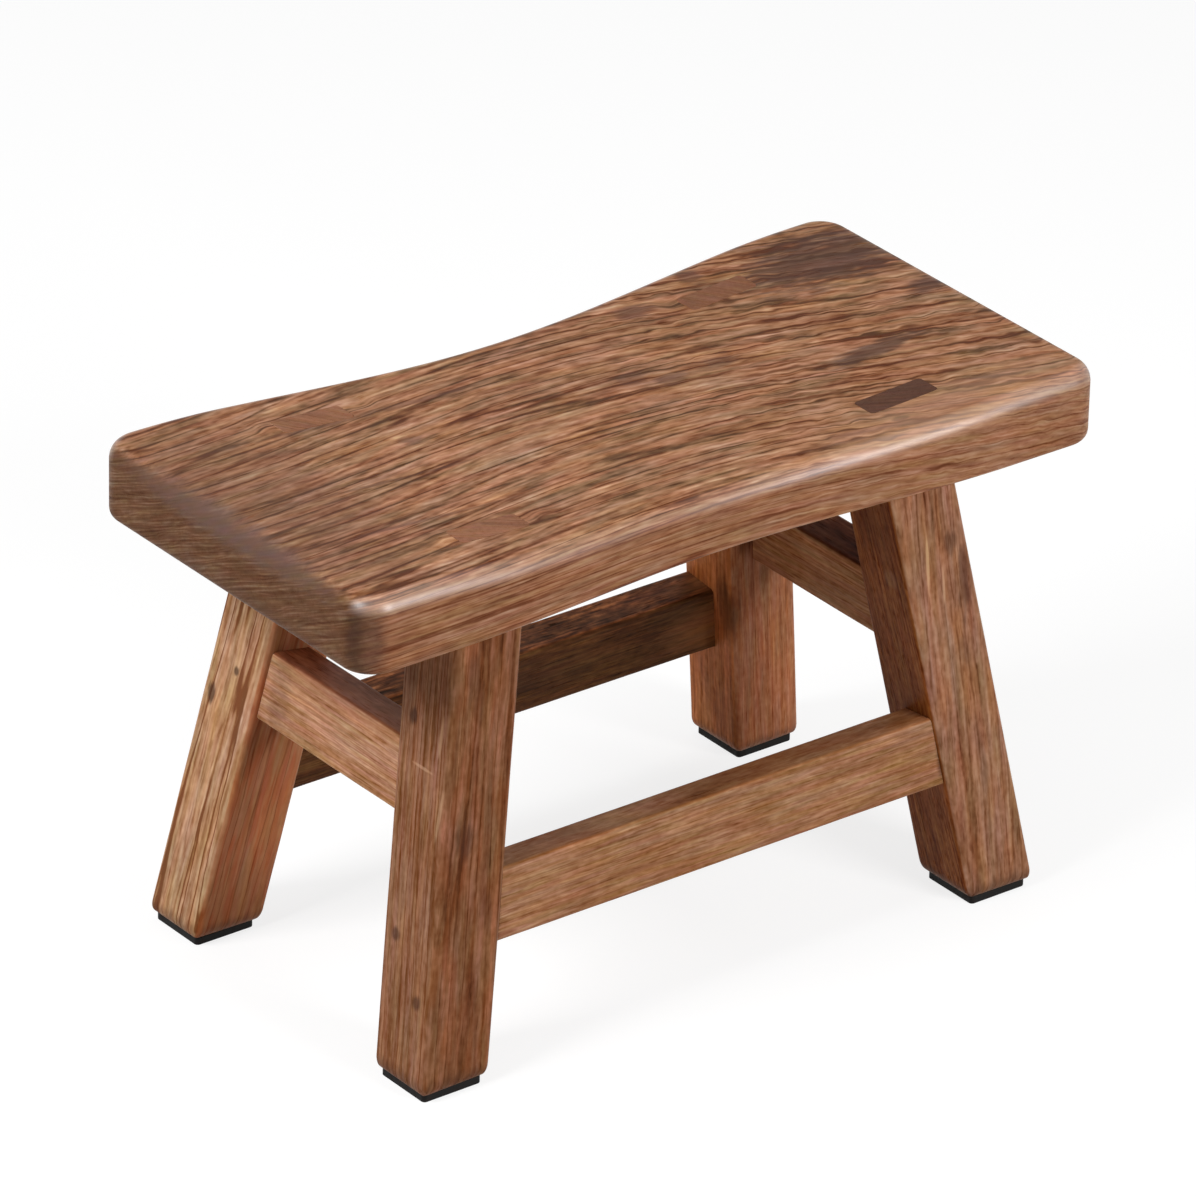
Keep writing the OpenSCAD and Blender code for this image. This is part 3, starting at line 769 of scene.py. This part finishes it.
def moulded_rubber():
    """Black rubber, moulded. The eye sees a matt, finely grained black, a little dusty."""
    made = bpy.data.materials.new("black rubber, moulded")
    tree = cleared(made)
    seen = add(tree, "ShaderNodeTexCoord")
    flat = add(tree, MAP, {"Vector": seen.outputs["Object"], "Scale": (MM, MM, MM)},
               vector_type="TEXTURE")
    # The mould's grain is 0.3 mm, and the dust lies in patches of 3 mm.
    grain = add(tree, NOISE, {"Vector": flat, "Scale": 1 / 0.3, "Detail": 1.0})
    dust = add(tree, NOISE, {"Vector": flat, "Scale": 1 / 3, "Detail": 4.0, "Roughness": 0.7})
    dust = add(tree, RANGE, [dust, 0.45, 0.75])
    black, dusty = linear("#080706"), linear("#221c19")
    colour = add(tree, "ShaderNodeMix", {0: dust, 6: black, 7: dusty}, data_type="RGBA")
    rough = add(tree, RANGE, [dust, 0.0, 1.0, 0.55, 0.9])
    bump = add(tree, "ShaderNodeBump", {"Strength": 0.3, "Distance": 0.05 * MM, "Height": grain})
    shader = add(tree, "ShaderNodeBsdfPrincipled", {
        "Base Color": colour, "Roughness": rough, "IOR": 1.5, "Specular IOR Level": 0.15,
        "Normal": bump})
    add(tree, "ShaderNodeOutputMaterial", [shader])
    return made


# The joiner's sizes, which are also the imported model's.
SPLAY_ALONG, SPLAY_ACROSS = math.radians(9.6), math.radians(7.3)
LEG_X, LEG_Y, LEG_SIZE = 88 * MM, 43 * MM, 27.5 * MM
SEAT_HEIGHT, SEAT_UNDER, PAD_HEIGHT = 188 * MM, 160.5 * MM, 3 * MM
CORNERS = {"back_right": (1.0, 1.0), "front_right": (1.0, -1.0),
           "back_left": (-1.0, 1.0), "front_left": (-1.0, -1.0)}
lean_sizes = {
    "Size": LEG_SIZE, "Splay Along": SPLAY_ALONG, "Splay Across": SPLAY_ACROSS,
    "Leg X": LEG_X, "Leg Y": LEG_Y, "Seat Under": SEAT_UNDER,
    "Seat Height": SEAT_HEIGHT, "Dish Depth": 5.3 * MM, "Dish Half": 142 * MM,
    "Dish Turn": 0.74, "Tenon Thickness": 10 * MM, "Tenon Offset": 8 * MM,
    "Tenon Arris": 1.5 * MM,
}


def leg_place(level):
    """Where a leg's middle line stands at a level, at the back right."""
    down = SEAT_UNDER - level
    return (LEG_X + down * math.tan(SPLAY_ALONG),
            LEG_Y + down * math.tan(SPLAY_ACROSS) / math.cos(SPLAY_ALONG))


block, sanding, dish, lean = block_tree(), sanding_tree(), dish_tree(), lean_tree()
tenon = tenon_tree(block, lean, dish)
leg, seat = leg_tree(block, sanding, lean, tenon), seat_tree(block, sanding, dish, tenon)
rail, pad = rail_tree(block, sanding), pad_tree(block, sanding)


def keep(piece, slot):
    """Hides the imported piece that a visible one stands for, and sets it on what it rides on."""
    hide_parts(piece.name.removesuffix("_shape"))
    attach(piece, "root")


rubber = moulded_rubber()
keep(grow("seat_shape", seat, {
    **lean_sizes, "Gap": 0.1 * MM, "Length": 304 * MM, "Width": 148 * MM,
    "Corner": 12 * MM, "Top Round": 6.5 * MM, "Bottom Round": 3.5 * MM,
    "Waist Depth": 6.5 * MM, "Waist Half": 115 * MM, "Finish": seat_wood,
}), "seat_wood")
for seed, (corner, (end, side)) in enumerate(CORNERS.items()):
    tones, figure_seed, layers, slope, weights, marks, ends = LEGS[corner]
    upwards = Vector((-math.tan(SPLAY_ALONG) * end, -math.tan(SPLAY_ACROSS) * side, 1))
    placed = []
    # Every foot is darker just above its pad.
    for face, right, level, wide, high, amount, rough in (
            *marks, ("foot", 0, 4, 30, 6, 0.5, 0.9)):
        # From a place on a face to mm from the leg's origin, which is at its top.
        at = Vector(leg_place(level * MM)) / MM - Vector((LEG_X, LEG_Y)) / MM
        at = [at[0] * end, at[1] * side, level - SEAT_UNDER / MM]
        if face == "front":
            at[0], at[1], reach = at[0] + right, at[1] - MARK_OUT, (wide, MARK_DEPTH, high)
        elif face == "side":
            at[0], at[1], reach = at[0] - MARK_OUT, at[1] - right, (MARK_DEPTH, wide, high)
        else:
            reach = (wide, wide, high)
        placed.append((at, reach, abs(amount), rough, KNOT_AND_SHADE if amount > 0 else SCRATCH))
    left_bold, front_bold, left_tones = LEG_SIDES[corner]
    leg_wood = hardwood(
        f"brown hardwood leg, planed and lacquered, {corner.replace('_', ' ')}",
        upwards + Vector((*slope, 0)), layers, figure_seed, *tones, weights,
        (LEG_X * end, LEG_Y * side, SEAT_UNDER), marks=placed,
        faces=(("left", left_bold, left_tones), ("Z", 0.9, ends), ("Y", front_bold, None)),
        edge_wear_and_highlight=0.22)
    keep(grow(f"leg_{corner}_shape", leg, {
        **lean_sizes, "Arris": 2.5 * MM, "Foot": PAD_HEIGHT, "Foot Round": 2.2 * MM,
        "Foot Ease": 2 * MM, "Depth": 0.25 * MM, "Wave": 30 * MM, "Seed": seed + 1.0,
        "End": end, "Side": side, "Finish": leg_wood,
    }), "leg_wood")
    keep(grow(f"foot_pad_{corner}_shape", pad, {
        "Size": 23.5 * MM, "Thickness": PAD_HEIGHT, "Corner": 1.5 * MM,
        "Edge Round": 0.4 * MM, "Pad X": leg_place(PAD_HEIGHT)[0],
        "Pad Y": leg_place(PAD_HEIGHT)[1], "Depth": 0.05 * MM, "Wave": 6 * MM,
        "Seed": seed + 11.0, "End": end, "Side": side, "Finish": rubber,
    }), "pad_rubber")

# Each rail's thickness and level, and how far it lies behind the legs' outer faces.
LONG_THICKNESS, LONG_LEVEL, LONG_SET_BACK = 15 * MM, 58 * MM, 2 * MM
SHORT_THICKNESS, SHORT_LEVEL, SHORT_SET_BACK = 16 * MM, 98 * MM, 2.5 * MM
half = LEG_SIZE / 2
long_out = half - LONG_SET_BACK - LONG_THICKNESS / 2
short_out = half - SHORT_SET_BACK - SHORT_THICKNESS / 2
LONG = {
    "Thickness": LONG_THICKNESS, "Height": 25 * MM, "Tilt": SPLAY_ACROSS, "Level": LONG_LEVEL,
    "Place": leg_place(LONG_LEVEL)[1] + long_out / math.cos(SPLAY_ACROSS),
    "End": LEG_X - half / math.cos(SPLAY_ALONG) + SEAT_UNDER * math.tan(SPLAY_ALONG),
    "End Across": 0.0, "End Up": -math.tan(SPLAY_ALONG),
}
lift = math.tan(SPLAY_ACROSS)
SHORT = {
    "Thickness": SHORT_THICKNESS, "Height": 25.5 * MM, "Tilt": SPLAY_ALONG,
    "Level": SHORT_LEVEL, "Place": leg_place(SHORT_LEVEL)[0] + short_out / math.cos(SPLAY_ALONG),
    "End": LEG_Y - half / math.cos(SPLAY_ACROSS) - LEG_X * math.sin(SPLAY_ALONG) * lift
    + SEAT_UNDER * math.cos(SPLAY_ALONG) * lift,
    "End Across": math.sin(SPLAY_ALONG) * lift, "End Up": -math.cos(SPLAY_ALONG) * lift,
}
# Where the rails are darker or paler than the rest of them: dark joints by the legs, and
# painted shade and painted light.
RAIL_MARKS = {
    "front": [((93, -64, -2), (3.2, 12, 15), 0.8, 0.8, KNOT_AND_SHADE),
              ((-93, -64, -2), (2.6, 12, 15), 0.5, 0.8, KNOT_AND_SHADE)],
    # At the back rail's right end a pale colour is painted light, against the shade by the back
    # right leg, and over its middle a dark colour is painted shade under the seat.
    "back": [((92, 60, -2), (34, 14, 18), 0.85, 0.6, "#9c6a44"),
             ((10, 60, -2), (44, 14, 18), 0.55, 0.8, "#2c1a10")],
    # On the left rail, a dark end by the back left leg is painted shade, and a pale band along
    # its top is painted light under the seat.
    "left": [((-104, 29, 38), (16, 8, 20), 0.3, 0.8, KNOT_AND_SHADE),
             ((-104, -10, 52), (20, 50, 6), 0.3, 0.8, "#a87258")],
    # Along the right rail's top a dark band is the seat's painted shadow.
    "right": [((104, 0, 52), (20, 60, 6), 0.3, 0.8, "#22120c")],
}
RAIL_WEIGHTS = (2, 0.5, 0.3, 0.55, 0.1, 0.18, 0.35, 0.5, 0.75, 0.13, 0.35)
for seed, (place, sizes, turn, tones, layers) in enumerate((
        ("back", LONG, 0.0, RAIL_DARK, (0, 0.3, 1)),
        ("front", LONG, 180.0, RAIL_TAN, (0, 0.3, 1)),
        ("right", SHORT, -90.0, RAIL_RED, (0.3, 0, 1)),
        ("left", SHORT, 90.0, RAIL_PINK, (0.3, 0, 1)))):
    along = (1, 0, 0) if sizes is LONG else (0, 1, 0)
    rail_wood = hardwood(
        f"brown hardwood rail, planed and lacquered, {place}", along, layers, seed + 31.0,
        *tones, RAIL_WEIGHTS, RAIL_ORIGIN, marks=RAIL_MARKS[place],
        faces=(("Z", 1.6 if place == "back" else 1.0, {
            "front": TAN_TOP, "back": ROUGH_TOP}.get(place, DARK_TOP)),),
        end="X" if sizes is LONG else "Y")
    keep(grow(f"rail_{place}_shape", rail, {
        **sizes, "Arris": 1.5 * MM, "Depth": 0.2 * MM, "Wave": 25 * MM,
        "Seed": seed + 21.0, "Turn": math.radians(turn), "Finish": rail_wood,
    }), "rail_wood")

# The camera stands where the photograph was taken from, with a long lens.
CAMERA_TURN, CAMERA_RISE, CAMERA_ROLL = (math.radians(a) for a in (-38.069, 27.341, 1.427))
# What it aims at, and how far it is and how it is shifted from there, in mm.
AIM, DISTANCE, SHIFT_RIGHT, SHIFT_UP = Vector((0, 0, 90)), 3244.17, -0.206, 22.207
# The photo's width and the lens's reach in the photo's pixels, and the sensor's width in mm.
PHOTO_WIDTH, LENS_PIXELS, SENSOR = 1196, 9772.4, 36
back = Vector((math.sin(CAMERA_TURN) * math.cos(CAMERA_RISE),
               -math.cos(CAMERA_TURN) * math.cos(CAMERA_RISE), math.sin(CAMERA_RISE)))
right = Vector((0, 0, 1)).cross(back).normalized()
above = back.cross(right)
side = right * math.cos(CAMERA_ROLL) + above * math.sin(CAMERA_ROLL)
above = above * math.cos(CAMERA_ROLL) - right * math.sin(CAMERA_ROLL)
stand = (AIM + back * DISTANCE + side * SHIFT_RIGHT + above * SHIFT_UP) * MM
lens = bpy.data.cameras.new("camera")
lens.sensor_width = SENSOR
lens.lens = LENS_PIXELS / PHOTO_WIDTH * SENSOR
camera = bpy.data.objects.new("camera", lens)
camera.matrix_world = Matrix((side, above, back)).transposed().to_4x4()
camera.location = stand
scene.collection.objects.link(camera)
scene.camera = camera


def looked_at(tree):
    """1 where the camera sees a surface, or sees it mirrored or through another, else 0."""
    seen = add(tree, "ShaderNodeLightPath")
    direct = add(tree, MATH, [seen.outputs["Is Camera Ray"], seen.outputs["Is Glossy Ray"]],
                 operation="MAXIMUM")
    return add(tree, MATH, [direct, seen.outputs["Is Transmission Ray"]], operation="MAXIMUM")


# A white floor. The camera sees it as plain white but for the stool's soft shadow.
ground = bpy.data.meshes.new("floor")
ground.from_pydata([(-6, -6, 0), (6, -6, 0), (6, 6, 0), (-6, 6, 0)], [], [(0, 1, 2, 3)])
ground = bpy.data.objects.new("floor", ground)
paper = bpy.data.materials.new("matt white studio paper")
tree = cleared(paper)
matt = add(tree, "ShaderNodeBsdfDiffuse", {"Color": linear("#d6cabd")})
faint = add(tree, "ShaderNodeBsdfDiffuse", {"Color": linear("#8a8a8a")})
shine = add(tree, "ShaderNodeEmission", {"Color": linear("#ffffff"), "Strength": 0.8})
bright = add(tree, "ShaderNodeAddShader", [faint, shine])
both = add(tree, "ShaderNodeMixShader", [looked_at(tree), matt, bright])
add(tree, "ShaderNodeOutputMaterial", [both])
ground.data.materials.append(paper)
scene.collection.objects.link(ground)


def lamp(name, place, size, watts, colour):
    """A soft rectangular lamp aimed at the stool."""
    light = bpy.data.lights.new(name, "AREA")
    light.shape = "RECTANGLE"
    light.size, light.size_y = size
    light.energy = watts
    light.color = linear(colour)[:3]
    stand = bpy.data.objects.new(name, light)
    stand.location = place
    aim = Vector((0, 0, 0.1)) - Vector(place)
    stand.rotation_euler = aim.to_track_quat("-Z", "Y").to_euler()
    scene.collection.objects.link(stand)


lamp("left softbox", (-1.25, 0.06, 1.18), (0.7, 0.6), 21, "#ffffff")
lamp("front right softbox", (0.36, -1.446, 0.795), (0.6, 0.5), 18.6, "#ffffff")
lamp("top softbox", (0.1, 0.3, 1.7), (1.3, 1.0), 3.0, "#ffffff")

world = bpy.data.worlds.new("studio")
scene.world = world
tree = cleared(world)
soft = add(tree, "ShaderNodeBackground", {"Color": linear("#ffffff"), "Strength": 0.2})
bright = add(tree, "ShaderNodeBackground", {"Color": linear("#ffffff"), "Strength": 1.0})
both = add(tree, "ShaderNodeMixShader", [looked_at(tree), soft, bright])
add(tree, "ShaderNodeOutputWorld", [both])
scene.view_settings.view_transform = "Standard"
